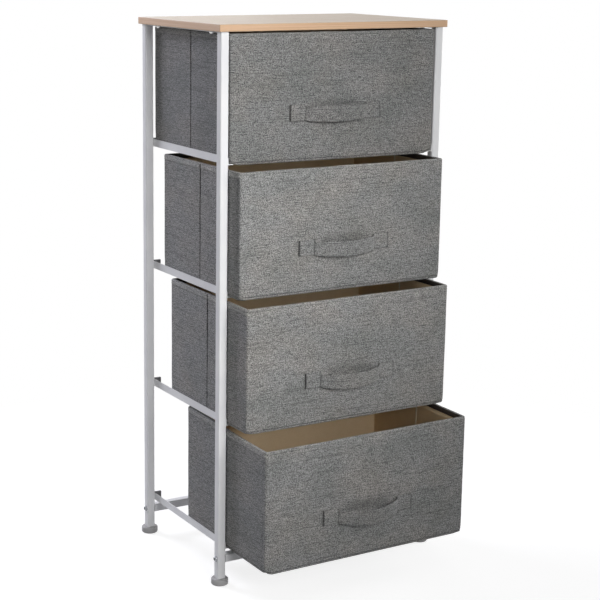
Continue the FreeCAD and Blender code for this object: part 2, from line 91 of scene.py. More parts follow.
soft_lamp("front_lamp", (-0.27, -2.15, 1.34), (-0.44, -0.07, 0.66), 1.0, 5.1, beam=52)
soft_lamp("left_lamp", (-0.95, 1.9, 1.6), (-0.2, 0, 0.6), 0.8, 36, (0.87, 0.875, 1))
soft_lamp("right_lamp", (2.3, -0.3, 1.1), (0, 0, 0.5), 1.2, 14)
soft_lamp("rear_lamp", (0.6, 2.3, 1.6), (0, 0, 0.4), 1.2, 5)


def join(tree, kind, inputs=None, **settings):
    """Adds a node, with its settings, and with its inputs set or linked."""
    made = tree.nodes.new("ShaderNode" + kind)
    for name, value in settings.items():
        setattr(made, name, value)
    for name, value in (inputs or {}).items():
        if isinstance(value, bpy.types.NodeSocket):
            tree.links.new(value, made.inputs[name])
        else:
            made.inputs[name].default_value = value
    return made


def calc(tree, operation, *values, clamp=False):
    """The result of one Math node."""
    return join(tree, "Math", dict(enumerate(values)), operation=operation, use_clamp=clamp).outputs[0]


def start_material(name):
    """An empty material and its node tree."""
    material = bpy.data.materials.new(name)
    material.use_nodes = True
    material.node_tree.nodes.clear()
    return material, material.node_tree


def white_to_the_eye(tree):
    """1 for what the camera sees, straight or in a mirror or through glass."""
    path = join(tree, "LightPath")
    seen = calc(tree, "MAXIMUM", path.outputs["Is Camera Ray"], path.outputs["Is Glossy Ray"])
    return calc(tree, "MAXIMUM", seen, path.outputs["Is Transmission Ray"])


ROOM_GLOW = 0.2                  # light from all round, on what isn't seen as background
world = bpy.data.worlds.new("white_room")
world.use_nodes = True
bpy.context.scene.world = world
tree = world.node_tree
tree.nodes.clear()
glow = join(tree, "Background", {"Color": (0.98, 0.985, 1, 1), "Strength": ROOM_GLOW})
backdrop = join(tree, "Background", {"Color": (1, 1, 1, 1), "Strength": 1})
room = join(tree, "MixShader", {0: white_to_the_eye(tree), 1: glow.outputs[0], 2: backdrop.outputs[0]})
join(tree, "OutputWorld", {"Surface": room.outputs[0]})

FLOOR_SIDE = 12
SHADOW_NEAR = 0.45               # the faint shadow fades from this far from the middle
SHADOW_FAR = 1.1                 # to this far
floor_mesh = bpy.data.meshes.new("floor")
half = FLOOR_SIDE / 2
floor_mesh.from_pydata(
    [(-half, -half, 0), (half, -half, 0), (half, half, 0), (-half, half, 0)], [], [(0, 1, 2, 3)]
)
floor = bpy.data.objects.new("floor", floor_mesh)
bpy.context.scene.collection.objects.link(floor)
paper, tree = start_material("pale_sweep")
matt = join(tree, "BsdfDiffuse", {"Color": (0.45, 0.45, 0.45, 1)})
dim_matt = join(tree, "BsdfDiffuse", {"Color": (0.4, 0.4, 0.4, 1)})
lift = join(tree, "Emission", {"Color": (1, 1, 1, 1), "Strength": 0.8})
lifted = join(tree, "AddShader", {0: dim_matt.outputs[0], 1: lift.outputs[0]})
plain = join(tree, "Emission", {"Color": (1, 1, 1, 1), "Strength": 1})
away = join(tree, "VectorMath", {0: join(tree, "TexCoord").outputs["Object"]}, operation="LENGTH")
far = join(tree, "MapRange", {0: away.outputs["Value"], 1: SHADOW_NEAR, 2: SHADOW_FAR}).outputs[0]
faded = join(tree, "MixShader", {0: far, 1: lifted.outputs[0], 2: plain.outputs[0]})
sweep = join(tree, "MixShader", {0: white_to_the_eye(tree), 1: matt.outputs[0], 2: faded.outputs[0]})
join(tree, "OutputMaterial", {"Surface": sweep.outputs[0]})
floor_mesh.materials.append(paper)


# ---------------------------------------------------------------- steel frame
# Four square-tube posts with L-section drawer rails and a flat top bar welded between them, and
# two square cross rails bolted on. All of it is white powder coat over steel, fired on, with the
# fine orange peel that such a coat has, a few specks and a faint uneven film.

def shade(r, g, b):
    """A colour given as 0 to 255 on a screen, for a shader."""
    def linear(level):
        part = level / 255
        return part / 12.92 if part <= 0.04045 else ((part + 0.055) / 1.055) ** 2.4
    return (linear(r), linear(g), linear(b), 1)


def dress(tree, colour, roughness, relief, others=None):
    """Ends a material with its shader. The relief is a strength, a depth and a height that varies."""
    strength, depth, height = relief
    bump = join(tree, "Bump", {"Strength": strength, "Distance": depth, "Height": height})
    inputs = {"Base Color": colour, "Roughness": roughness, "Normal": bump.outputs[0]}
    shader = join(tree, "BsdfPrincipled", inputs | (others or {}))
    join(tree, "OutputMaterial", {"Surface": shader.outputs[0]})


def start_group(name, inputs, outputs):
    """An empty node group with its named sockets."""
    group = bpy.data.node_groups.new(name, "ShaderNodeTree")
    for socket, (kind, value) in inputs.items():
        made = group.interface.new_socket(socket, in_out="INPUT", socket_type="NodeSocket" + kind)
        if value is not None:
            made.default_value = value
    for socket, kind in outputs.items():
        group.interface.new_socket(socket, in_out="OUTPUT", socket_type="NodeSocket" + kind)
    given = group.nodes.new("NodeGroupInput")
    result = group.nodes.new("NodeGroupOutput")
    return group, given.outputs, result.inputs


def place_group(tree, group, inputs):
    """The outputs of a node group, placed in a material."""
    return join(tree, "Group", inputs, node_tree=group).outputs


def times(tree, first, second):
    return calc(tree, "MULTIPLY", first, second)


def blend(tree, share, first, second, how="MIX"):
    """The colour of a Mix node."""
    mixed = join(tree, "Mix", {0: share, 6: first, 7: second}, data_type="RGBA", blend_type=how)
    return mixed.outputs[2]


def spread(tree, value, low, high, to_low=0.0, to_high=1.0):
    """Maps one range of a value onto another, held at its ends."""
    ranged = join(tree, "MapRange", {0: value, 1: low, 2: high, 3: to_low, 4: to_high})
    return ranged.outputs[0]


def speckle(tree, place, scale, detail=2.0, roughness=0.5):
    """The value of a Noise texture."""
    made = join(
        tree, "TexNoise", {"Vector": place, "Scale": scale, "Detail": detail, "Roughness": roughness}
    )
    return made.outputs[0]


def streaks(tree, place, factors, detail, roughness=0.5, scale=1, shift=(0, 0, 0)):
    """As speckle, with the texture drawn out by a factor each way."""
    drawn = join(tree, "VectorMath", {0: place, 1: factors, 2: shift}, operation="MULTIPLY_ADD")
    return speckle(tree, drawn.outputs[0], scale, detail, roughness)


# Handling marks: a soft uneven film that every piece of a real, used product has a little of.
uneven, given, result = start_group(
    "uneven_film",
    {
        "Place": ("Vector", None),
        "Colour": ("Color", (0.8, 0.8, 0.8, 1)),
        "Film": ("Color", (0.7, 0.7, 0.7, 1)),
        "Size": ("Float", 9.0),
        "Amount": ("Float", 0.1),
        "Roughness": ("Float", 0.4),
        "Roughness Swing": ("Float", 0.08),
    },
    {"Colour": "Color", "Roughness": "Float"},
)
broad = speckle(uneven, given["Place"], given["Size"], 3, 0.55)
share = times(uneven, spread(uneven, broad, 0.35, 0.7), given["Amount"])
uneven.links.new(blend(uneven, share, given["Colour"], given["Film"]), result["Colour"])
swing = times(uneven, spread(uneven, broad, 0.3, 0.7, -1, 1), given["Roughness Swing"])
uneven.links.new(calc(uneven, "ADD", given["Roughness"], swing, clamp=True), result["Roughness"])

PAINT = shade(243, 243, 243)
PAINT_FILM = shade(229, 229, 232)
PAINT_SPECK = shade(205, 205, 208)
PEEL_SIZE = 620                  # per metre: the orange peel's lumps are about 1.5 mm
PEEL_DEEP = 0.00025
RAIL_ROUNDING = 0.0004

frame_paint, tree = start_material("white_powder_coat")
place = join(tree, "TexCoord").outputs["Object"]
film = place_group(tree, uneven, {
    "Place": place, "Colour": PAINT, "Film": PAINT_FILM, "Size": 14, "Amount": 0.6,
    "Roughness": 0.36, "Roughness Swing": 0.05,
})
peel = speckle(tree, place, PEEL_SIZE, 2, 0.45)
specks = spread(tree, speckle(tree, place, 2600, 0), 0.72, 0.78)
coated = blend(tree, times(tree, specks, 0.25), film["Colour"], PAINT_SPECK)
dress(tree, coated, film["Roughness"], (0.35, PEEL_DEEP, peel), {"IOR": 1.5})


def finish_node(name, material):
    """Gives a CAD node its finish."""
    for slot in nodes[name].material_slots:
        slot.material = material


def ease_edges(name, width, segments=2):
    """Rounds the sharp edges of a CAD node, which keeps its own mesh."""
    node = nodes[name]
    flat = node.modifiers.new("flat_faces", "DECIMATE")
    flat.decimate_type = "DISSOLVE"
    flat.angle_limit = math.radians(0.5)
    eased = node.modifiers.new("eased_edges", "BEVEL")
    eased.width = width
    eased.segments = segments
    eased.limit_method = "ANGLE"
    eased.angle_limit = math.radians(50)
    eased.harden_normals = False


TUBES = [f"{end}_{side}_post" for end in ("front", "rear") for side in ("left", "right")]
TUBES += ["front_cross_rail", "rear_cross_rail"]
FLATS = [f"{side}_rail_{level}" for side in ("left", "right") for level in range(1, 5)]
FLATS += ["left_top_bar", "right_top_bar"]
for name in TUBES + FLATS:
    finish_node(name, frame_paint)
for name in FLATS:
    ease_edges(name, RAIL_ROUNDING)


# ---------------------------------------------------------------- top board
# A 12 mm board pressed from wood fibre. Its faces carry a printed light oak laminate under a
# clear satin coat, and a slightly warmer plain band is glued round the cut edges.

BOARD_LOW, BOARD_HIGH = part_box("top_board")

OAK_LIGHT = shade(226, 212, 194)
OAK_DARK = shade(207, 185, 160)
OAK_PORE = shade(176, 146, 115)
BAND_LIGHT = shade(222, 186, 152)
BAND_DARK = shade(206, 165, 127)
GLUE_BROWN = shade(150, 118, 88)

laminate, tree = start_material("oak_laminate")
place = join(tree, "TexCoord").outputs["Object"]
shell = join(tree, "NewGeometry")
facing = join(tree, "SeparateXYZ", {0: shell.outputs["Normal"]})
on_face = spread(tree, calc(tree, "ABSOLUTE", facing.outputs["Z"]), 0.6, 0.8)

# Long cathedral figure, then close growth lines, then short dark pores, all along the board.
figure = streaks(tree, place, (1.1, 9, 9), 2, 0.5, 2.2)
rings = spread(tree, calc(tree, "SINE", times(tree, figure, 95)), -1, 1)
growth = streaks(tree, place, (5, 260, 260), 3, 0.6)
pores = spread(tree, streaks(tree, place, (70, 1500, 1500), 1), 0.62, 0.7)
oak = blend(tree, times(tree, rings, 0.45), OAK_LIGHT, OAK_DARK)
oak = blend(tree, spread(tree, growth, 0.42, 0.7, 0, 0.5), oak, OAK_DARK)
oak = blend(tree, times(tree, pores, 0.35), oak, OAK_PORE)
lines = streaks(tree, place, (4, 4, 650), 3, 0.6)
band = blend(tree, spread(tree, lines, 0.35, 0.7), BAND_LIGHT, BAND_DARK)
band = blend(tree, times(tree, pores, 0.2), band, OAK_PORE)
wood = blend(tree, on_face, band, oak)

# The glue line is a hair of darker brown on the band, just inside each face.
height = join(tree, "SeparateXYZ", {0: place}).outputs["Z"]
from_top = calc(tree, "SUBTRACT", BOARD_HIGH.z, height)
from_bottom = calc(tree, "SUBTRACT", height, BOARD_LOW.z)
from_face = calc(tree, "MINIMUM", from_top, from_bottom)
outer_edge = spread(tree, from_face, 0.0003, 0.0006)
inner_edge = spread(tree, from_face, 0.0007, 0.0011, 1, 0)
glue = times(tree, inner_edge, outer_edge)
glue = calc(tree, "MULTIPLY", glue, calc(tree, "SUBTRACT", 0.5, on_face), clamp=True)
wood = blend(tree, glue, wood, GLUE_BROWN)
gloss = calc(tree, "ADD", spread(tree, growth, 0.3, 0.7, 0.46, 0.54), times(tree, pores, 0.1))
dents = calc(tree, "ADD", times(tree, growth, 0.5), times(tree, pores, -0.8))
dress(tree, wood, gloss, (0.3, 0.00012, dents), {"IOR": 1.52})
finish_node("top_board", laminate)


# ---------------------------------------------------------------- feet
# Four caps moulded in grey polythene and pushed over the lower ends of the posts. The satin
# surface has a fine spark-eroded grain.

FEET = [f"{end}_{side}_foot" for end in ("front", "rear") for side in ("left", "right")]
SCUFFED_TO = 0.006               # how far above the floor the scuffs reach

foot_plastic, tree = start_material("grey_polythene")
place = join(tree, "TexCoord").outputs["Object"]
film = place_group(tree, uneven, {
    "Place": place, "Colour": shade(176, 175, 175), "Film": shade(150, 148, 147), "Size": 45,
    "Amount": 0.6, "Roughness": 0.5, "Roughness Swing": 0.08,
})
height = join(tree, "SeparateXYZ", {0: place}).outputs["Z"]
scraped = spread(tree, speckle(tree, place, 260, 3), 0.4, 0.65)
scuffs = times(tree, spread(tree, height, 0.001, SCUFFED_TO, 1, 0), scraped)
worn = blend(tree, times(tree, scuffs, 0.5), film["Colour"], shade(118, 115, 112))
dress(tree, worn, film["Roughness"], (0.25, 0.0001, speckle(tree, place, 2400, 1)))
for name in FEET:
    finish_node(name, foot_plastic)


# ---------------------------------------------------------------- drawer stops
# Small dark grey rubber pads glued on the shelf flange at the rear end of every rail.

stop_rubber, tree = start_material("grey_rubber")
place = join(tree, "TexCoord").outputs["Object"]
film = place_group(tree, uneven, {
    "Place": place, "Colour": shade(116, 116, 118), "Film": shade(138, 137, 136), "Size": 120,
    "Amount": 0.5, "Roughness": 0.72, "Roughness Swing": 0.1,
})
dress(tree, film["Colour"], film["Roughness"], (0.4, 0.0002, speckle(tree, place, 1500, 2)))
finish_node("drawer_stops", stop_rubber)
ease_edges("drawer_stops", 0.0006, 3)


# ---------------------------------------------------------------- fasteners
# Zinc-plated button-head bolts and pan-head board screws, and the plain steel threaded inserts
# that are pressed into the cross rails.

turned_metal, given, result = start_group(
    "turned_metal",
    {
        "Place": ("Vector", None),
        "Bright": ("Color", (0.7, 0.7, 0.7, 1)),
        "Dull": ("Color", (0.4, 0.4, 0.4, 1)),
        "Roughness": ("Float", 0.3),
    },
    {"Colour": "Color", "Roughness": "Float", "Height": "Float"},
)
patches = speckle(turned_metal, given["Place"], 420, 3)
tone = blend(turned_metal, spread(turned_metal, patches, 0.35, 0.68), given["Bright"], given["Dull"])
turned_metal.links.new(tone, result["Colour"])
duller = spread(turned_metal, patches, 0.3, 0.7, -0.06, 0.12)
turned_metal.links.new(calc(turned_metal, "ADD", given["Roughness"], duller), result["Roughness"])
hairs = streaks(turned_metal, given["Place"], (900, 900, 5200), 2)
turned_metal.links.new(hairs, result["Height"])


def metal(name, bright, dull, roughness):
    material, tree = start_material(name)
    place = join(tree, "TexCoord").outputs["Object"]
    plated = place_group(tree, turned_metal, {
        "Place": place, "Bright": bright, "Dull": dull, "Roughness": roughness,
    })
    relief = (0.2, 0.00005, plated["Height"])
    dress(tree, plated["Colour"], plated["Roughness"], relief, {"Metallic": 1})
    return material


zinc = metal("zinc_plate", shade(158, 160, 163), shade(112, 114, 117), 0.36)
bright_zinc = metal("bright_zinc", shade(228, 228, 226), shade(190, 190, 189), 0.34)
plain_steel = metal("plain_steel", shade(150, 148, 145), shade(112, 108, 104), 0.42)
finish_node("cross_rail_bolts", zinc)
finish_node("board_screws", bright_zinc)
finish_node("cross_rail_inserts", plain_steel)


# ---------------------------------------------------------------- drawer covers
# Each drawer is a sewn box of grey linen-look cloth over stiff panels. The cloth comes up outside,
# turns over the rim and goes down inside, with a wide hem at the sides and back, a narrow one in
# front, a seam behind each front corner, a seam round the bottom and a fold halfway along each side.

LEVELS = (1, 2, 3, 4)
CLOTH = 0.0011                   # the cover's cloth
CLOTH_SHOWN = CLOTH * 0.9        # a little less, to stay clear of the panels
WALL = 0.005                     # cloth, panel and lining together
CORNER = 0.0034                  # rounding of the upright corners
HALF_RIM = WALL / 2              # the rim is a half round
BOTTOM_ROLL = 0.003
SOFT_CORNER = 0.0085             # where a side, the front or back and the bottom meet
TIGHT_CORNER = 0.005             # the same at the front right, sewn a little tighter
SIDE_HEM = 0.0098
FRONT_HEM = 0.0045
BOTTOM_SEAM = 0.0046             # above the bottom
SEAM_BEHIND_CORNER = 0.0052
FOLD_HALF = 0.0024               # half the width of the fold halfway along a side
HIGHLIGHT_AT_RIM = 0.3                # the share of the hem's painted highlight on the rim itself


def linen_group():
    """Two sets of heathered yarns, crossed, with the tone of each thread wandering along it."""
    group, given, result = start_group(
        "linen_weave",
        {
            "Cloth": ("Vector", None),
            "Light Yarn": ("Color", (0.5, 0.5, 0.5, 1)),
            "Dark Yarn": ("Color", (0.1, 0.1, 0.1, 1)),
            "Thread": ("Float", 0.001),
            "Patches": ("Float", 1.0),
        },
        {"Colour": "Color", "Height": "Float", "Roughness": "Float"},
    )
    cloth = given["Cloth"]
    across, along, piece = join(group, "SeparateXYZ", {0: cloth}).outputs

    def yarns(beside, length, offset):
        """One set of threads: their number, their rounded profile and their tone."""
        count = calc(group, "DIVIDE", beside, given["Thread"])
        number = calc(group, "FLOOR", count)
        middle = calc(group, "SINE", times(group, calc(group, "FRACT", count), math.pi))
        spot = join(group, "CombineXYZ", {
            0: times(group, length, 130),
            1: times(group, number, 7.31),
            2: calc(group, "ADD", times(group, piece, 17), offset),
        }).outputs[0]
        return number, middle, speckle(group, spot, 1, 1.5, 0.6)

    weft_number, weft_middle, weft_tone = yarns(along, across, 0)
    warp_number, warp_middle, warp_tone = yarns(across, along, 41)
    odd = calc(group, "PINGPONG", calc(group, "ADD", weft_number, warp_number), 1)
    even = calc(group, "SUBTRACT", 1, odd)
    tone = calc(group, "ADD", times(group, weft_tone, even), times(group, warp_tone, odd))
    rise = calc(group, "ADD", times(group, weft_middle, even), times(group, warp_middle, odd))
    # thick and thin places that cross many threads
    slubs = streaks(group, cloth, (70, 620, 31), 1.5, 0.6)
    rises = streaks(group, cloth, (620, 110, 53), 1.5, 0.6)
    fleck = streaks(group, cloth, (560, 560, 71), 1)
    mixed = times(group, tone, 0.28)
    for part, share in ((slubs, 0.17), (rises, 0.13), (fleck, 0.42)):
        mixed = calc(group, "ADD", mixed, times(group, part, share))
    colour = blend(group, spread(group, mixed, 0.41, 0.59), given["Dark Yarn"], given["Light Yarn"])
    shadow = spread(group, rise, 0, 0.8, 0.72, 1)
    shadow = join(group, "CombineColor", {0: shadow, 1: shadow, 2: shadow}).outputs[0]
    colour = blend(group, 1.0, colour, shadow, "MULTIPLY")
    # broad soft patches where the dye took a little differently
    cool = streaks(group, cloth, (11, 15, 23), 2, 0.6)
    warm = streaks(group, cloth, (9, 13, 29), 2, 0.6, shift=(3.1, 7.7, 1.3))
    cool_share = times(group, spread(group, cool, 0.4, 0.68), given["Patches"])
    warm_share = times(group, spread(group, warm, 0.42, 0.7), given["Patches"])
    colour = blend(group, cool_share, colour, (0.84, 0.86, 0.85, 1), "MULTIPLY")
    colour = blend(group, warm_share, colour, (1.13, 1.08, 1.04, 1), "MULTIPLY")
    # and a few long darker threads
    long_threads = streaks(group, cloth, (9, 420, 37), 1)
    colour = blend(group, spread(group, long_threads, 0.58, 0.72, 0, 0.45), colour, given["Dark Yarn"])
    group.links.new(colour, result["Colour"])
    group.links.new(calc(group, "ADD", rise, times(group, mixed, 0.8)), result["Height"])
    group.links.new(spread(group, mixed, 0.3, 0.7, 0.95, 0.82), result["Roughness"])
    return group


linen = linen_group()


def linen_material(name, light, dark):
    material, tree = start_material(name)
    cloth = join(tree, "Attribute", attribute_name="cloth").outputs["Vector"]
    woven = place_group(tree, linen, {
        "Cloth": cloth, "Light Yarn": light, "Dark Yarn": dark, "Thread": 0.001, "Patches": 1.0,
    })
    # painted shade: the seam attribute darkens the cloth along its creases, seams and folds, where
    # shade falls, and on the strap's ends and edges
    crease_shaded = join(tree, "Attribute", attribute_name="seam").outputs["Fac"]
    crease_shaded = blend(tree, crease_shaded, woven["Colour"], shade(24, 24, 25))
    # painted highlight: doubled over a stiff fold at the rim the hem stands proud, and the hem
    # attribute paints it paler as if it caught the light
    hem_lit = join(tree, "Attribute", attribute_name="hem").outputs["Fac"]
    lit_hem_colour = blend(tree, hem_lit, crease_shaded, (1.5, 1.49, 1.46, 1), "MULTIPLY")
    dress(tree, lit_hem_colour, woven["Roughness"], (0.5, 0.0003, woven["Height"]), {
        "Sheen Weight": 0.12, "Sheen Roughness": 0.5, "Specular IOR Level": 0.25,
    })
    return material


# Each drawer's grey is scaled on its own: partly dye lots that differ a little, partly painted shade,
# the top drawer darkened as if in the board's shade.
DYE_AND_SHADE_TONES = {1: 0.94, 2: 1.015, 3: 1.02, 4: 0.985}
cover_cloths = {
    level: linen_material(
        f"grey_linen_{level}",
        shade(187 * dye_and_shade, 187 * dye_and_shade, 185 * dye_and_shade),
        shade(78 * dye_and_shade, 78 * dye_and_shade, 79 * dye_and_shade),
    )
    for level, dye_and_shade in DYE_AND_SHADE_TONES.items()
}


TOO_NEAR = 0.0011                # a place this close to a fixed one gives way to it


def steps(length, spacing, fixed=()):
    """Places from 0 to length at about this spacing, with the fixed ones among them."""
    count = max(1, round(length / spacing))
    places = {round(length * i / count, 6) for i in range(count + 1)}
    for spot in fixed:
        places = {p for p in places if abs(p - spot) > TOO_NEAR or p in (0, round(length, 6))}
    return sorted(places | {round(spot, 6) for spot in fixed})


def run_lengths(line):
    """How far each point of a line is along it."""
    runs = [0.0]
    for before, point in zip(line, line[1:]):
        runs.append(runs[-1] + math.dist(before, point))
    return runs


class Box:
    """The outline of a drawer seen from above, followed from the rear left corner: left side,
    front, right side, back. A column is a place on it: the wall, how far along that wall's straight
    part, how far round the corner after it, and how far round the drawer."""

    WALLS = {                    # each one's way out, and its way along
        "left": ((-1, 0), (0, -1)),
        "front": ((0, -1), (1, 0)),
        "right": ((1, 0), (0, 1)),
        "back": ((0, 1), (-1, 0)),
    }
    TURNS = 4                    # faces round an upright corner

    def __init__(self, low, high, corner, spacing, fixed=None):
        self.middle = Vector(((low.x + high.x) / 2, (low.y + high.y) / 2))
        self.half = Vector(((high.x - low.x) / 2, (high.y - low.y) / 2))
        self.corner = corner
        self.bottom = low.z
        self.rim = high.z
        self.tall = high.z - low.z
        self.columns = []
        quarter = corner * math.pi / 2
        run = 0.0
        for wall in self.WALLS:
            straight = self.wall_length(wall) - 2 * corner
            for place in steps(straight, spacing, fixed(wall, straight) if fixed else ()):
                self.columns.append((wall, place / straight, 0.0, run + place))
            run += straight
            for i in range(1, self.TURNS):
                self.columns.append((wall, 1.0, i / self.TURNS, run + i / self.TURNS * quarter))
            run += quarter
        self.across = [column[3] for column in self.columns] + [run]

    def wall_length(self, wall):
        return 2 * (self.half.y if wall in ("left", "right") else self.half.x)

    def spot(self, column, inward, push=0.0):
        """The place of a column on the outline drawn in by some distance, and its way out."""
        wall, share, turn, _ = column
        out, way = (Vector(v) for v in self.WALLS[wall])
        radius = max(self.corner - inward, 0.0004)
        half = self.half - Vector((inward, inward))
        sideways = abs(way.x) * half.x + abs(way.y) * half.y - radius
        outward = abs(out.x) * half.x + abs(out.y) * half.y - radius
        centre = self.middle + way * sideways * (2 * share - 1) + out * outward
        angle = turn * math.pi / 2
        normal = out * math.cos(angle) + way * math.sin(angle)
        return centre + normal * (radius + push), normal

    def from_front(self, column):
        """How far a column is behind the drawer's front."""
        wall, share, _, _ = column
        length = self.wall_length(wall)
        if wall == "left":
            return (1 - share) * length
        if wall == "right":
            return share * length
        return 0.0 if wall == "front" else length


def sheet_mesh(name, points, across, along, piece, flat_from, flip=False):
    """A mesh from rows of points that each close on themselves, and one face inside the last row.
    across has one value more than a row has points. Rows from flat_from on take their cloth places
    from above instead."""
    rows, row = len(points), len(points[0])
    corners = [p for line in points for p in line]
    faces, places = [], []
    for r in range(rows - 1):
        for c in range(row):
            n = (c + 1) % row
            ring = [(r, c, c), (r + 1, c, c), (r + 1, n, c + 1), (r, n, c + 1)]
            if flip:
                ring.reverse()
            faces.append([a * row + b for a, b, _ in ring])
            if r >= flat_from:
                places += [(points[a][b][0], points[a][b][1], piece) for a, b, _ in ring]
            else:
                places += [(across[k], along[a], piece) for a, _, k in ring]
    last = [(rows - 1) * row + c for c in range(row)]
    if not flip:
        last.reverse()
    faces.append(last)
    places += [(corners[i][0], corners[i][1], piece) for i in last]
    return cloth_mesh(name, corners, faces, places)


def cloth_mesh(name, corners, faces, places):
    """A smooth mesh that holds, for each corner of each face, its place on the flat cloth."""
    mesh = bpy.data.meshes.new(name)
    mesh.from_pydata(corners, [], faces)
    held = mesh.attributes.new("cloth", "FLOAT_VECTOR", "CORNER")
    held.data.foreach_set("vector", [value for place in places for value in place])
    mesh.shade_smooth()
    mesh.update()
    return mesh


def smooth_step(value, low, high):
    t = min(max((value - low) / (high - low), 0), 1)
    return t * t * (3 - 2 * t)


# Sewn by hand, a box of cloth comes out a little off square. For each level: how far its rim rises
# at the front left, the front right and the back, and how far its front hangs at the left and right.
RIM_RISE = {1: (0, 0, 0), 2: (0.002, 0.002, 0.001), 3: (0.003, 0.0045, 0.003), 4: (0, 0.004, 0.006)}
FRONT_HANG = {1: (0.003, 0.005), 2: (0, 0), 3: (0.001, 0.001), 4: (0.0045, 0.0015)}
LIP_DEEP = 0.0018                # beside the rails the hanging edge passes in front of their ends
LIP_BETWEEN = 0.011              # and this is how deep it is between them
FRONT_FLARE = {1: 0, 2: 0, 3: 0, 4: 0.0014}  # how much wider the front is at the bottom, each side


def off_square(level, point):
    """Where a place on a drawer's cloth goes because its box isn't quite square."""
    box = BOXES[level]
    x, y, z = point
    across = min(max((x - box.middle.x) / box.half.x / 2 + 0.5, 0), 1)
    behind = y - box.middle.y + box.half.y
    up = min(max((z - box.bottom) / box.tall, 0), 1)
    left, right, rear = RIM_RISE[level]
    front = left + (right - left) * across
    rise = front + (rear - front) * smooth_step(behind, 0.02, 2 * box.half.y)
    beside = smooth_step(abs(x - box.middle.x), box.half.x - 0.022, box.half.x - 0.0095)
    lip = 1 - smooth_step(behind, 0.0002, LIP_BETWEEN + (LIP_DEEP - LIP_BETWEEN) * beside)
    left, right = FRONT_HANG[level]
    hang = (left + (right - left) * across) * lip * (1 - smooth_step(up, 0, 0.4))
    hang *= 0.3 + 0.7 * smooth_step(box.half.x - abs(x - box.middle.x), 0.002, 0.016)
    flare = FRONT_FLARE[level] * (2 * across - 1) * lip * (1 - up)
    return x + flare, y, z + rise * smooth_step(up, 0.45, 1) - hang


def show(name, mesh, material, level):
    """Adds a soft piece of a drawer, with its finish, and lets it ride on the drawer."""
    for vertex in mesh.vertices:
        vertex.co = off_square(level, vertex.co)
    piece = bpy.data.objects.new(name, mesh)
    bpy.context.scene.collection.objects.link(piece)
    mesh.materials.append(material)
    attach(piece, f"drawer_{level}")
    return piece


def thicken(piece, thickness):
    """Gives a sheet its thickness, on the side that faces the panels."""
    thick = piece.modifiers.new("sheet_thickness", "SOLIDIFY")
    thick.thickness = thickness
    thick.offset = -1


def ridge(distance, width):
    """1 on a line, and 0 from this width on."""
    return max(0.0, 1 - abs(distance) / width) ** 1.5


def wave(level, a, b, c, scale):
    """A smooth random value at a place, another for each drawer."""
    return noise.noise(Vector((a * scale, b * scale, c * scale + level * 11.7)))


def hem_of(wall):
    """How deep the hem of a wall is, from the rim down."""
    return FRONT_HEM if wall == "front" else SIDE_HEM


def hem_wander(level, point):
    """How far a hem strays from its line at a place, as sewn by hand."""
    return 0.0004 * wave(level, point.x, point.y, 3.3, 45)


# The pull strap's place, which the cover's front is kept flat behind.
STRAP_LEVEL = 0.0785             # drawer bottom to the middle of the strap
STRAP_HALF_SPAN = 0.09
STRAP_HEIGHT = 0.027


def cover_creases(box, level, column, height):
    """How near a place is to each line where the cover is pinched: 1 on the line, 0 off it."""
    wall, share, _, _ = column
    point, _ = box.spot(column, 0)
    wander = hem_wander(level, point)
    lines = {
        "hem": ridge(box.tall - height - hem_of(wall) - 0.0007 - wander, 0.0016),
        "bottom": ridge(height - BOTTOM_SEAM - 2 * wander, 0.0019),
    }
    if wall in ("left", "right"):
        behind = box.from_front(column)
        seam = behind - SEAM_BEHIND_CORNER - 0.0006 * wave(level, height, 0.3, share, 30)
        lines["corner"] = ridge(seam, 0.0016)
        # the fold gapes at the rim and closes towards the bottom
        gape = FOLD_HALF * (0.62 + 0.38 * smooth_step(height, 0.04, 0.2))
        lean = 0.0007 * wave(level + 3, 0.5, height, share, 14)
        lines["fold"] = ridge(behind - box.wall_length(wall) / 2 - lean, gape)
    return lines


def cover_push(box, level, column, height):
    """How far the cover's cloth stands out from its plain outline at a place on a wall."""
    wall, _, turn, _ = column
    point, _ = box.spot(column, 0)
    side = wall in ("left", "right")
    slack = 0.0005 if side else 0.0003
    push = 0.0004 + slack * wave(level, point.x, point.y, height, 17)
    push += 0.00014 * wave(level, point.x, point.y, height, 60)
    if side:
        # each half panel's cloth bulges a little in its middle
        panel = box.from_front(column) / (box.wall_length(wall) / 2) % 1
        push += 0.0003 * math.sin(panel * math.pi) * math.sin(min(height / box.tall, 1) * math.pi)
    if wall == "front":
        beside = abs(point.x - box.middle.x) - STRAP_HALF_SPAN
        above = abs(height - STRAP_LEVEL) - STRAP_HEIGHT / 2
        push *= smooth_step(max(beside, above), 0.004, 0.03)
    # the back is pressed flat where it meets the drawer stops
    at_back = point.y - box.middle.y > box.half.y - CORNER - 0.0001
    push *= smooth_step(height, 0.0155, 0.032) if at_back else smooth_step(height, 0.0, 0.02)
    if turn == 0:
        proud = 0.0003 if wall == "front" else 0.0006
        within_hem = hem_of(wall) + hem_wander(level, point) - (box.tall - height)
        push += proud * smooth_step(within_hem, -0.0005, 0.0004)
    lines = cover_creases(box, level, column, height)
    push -= 0.0003 * lines["hem"] + 0.0008 * lines["bottom"]
    if side:
        push -= 0.0007 * lines["corner"] + 0.0019 * lines["fold"]
    return push


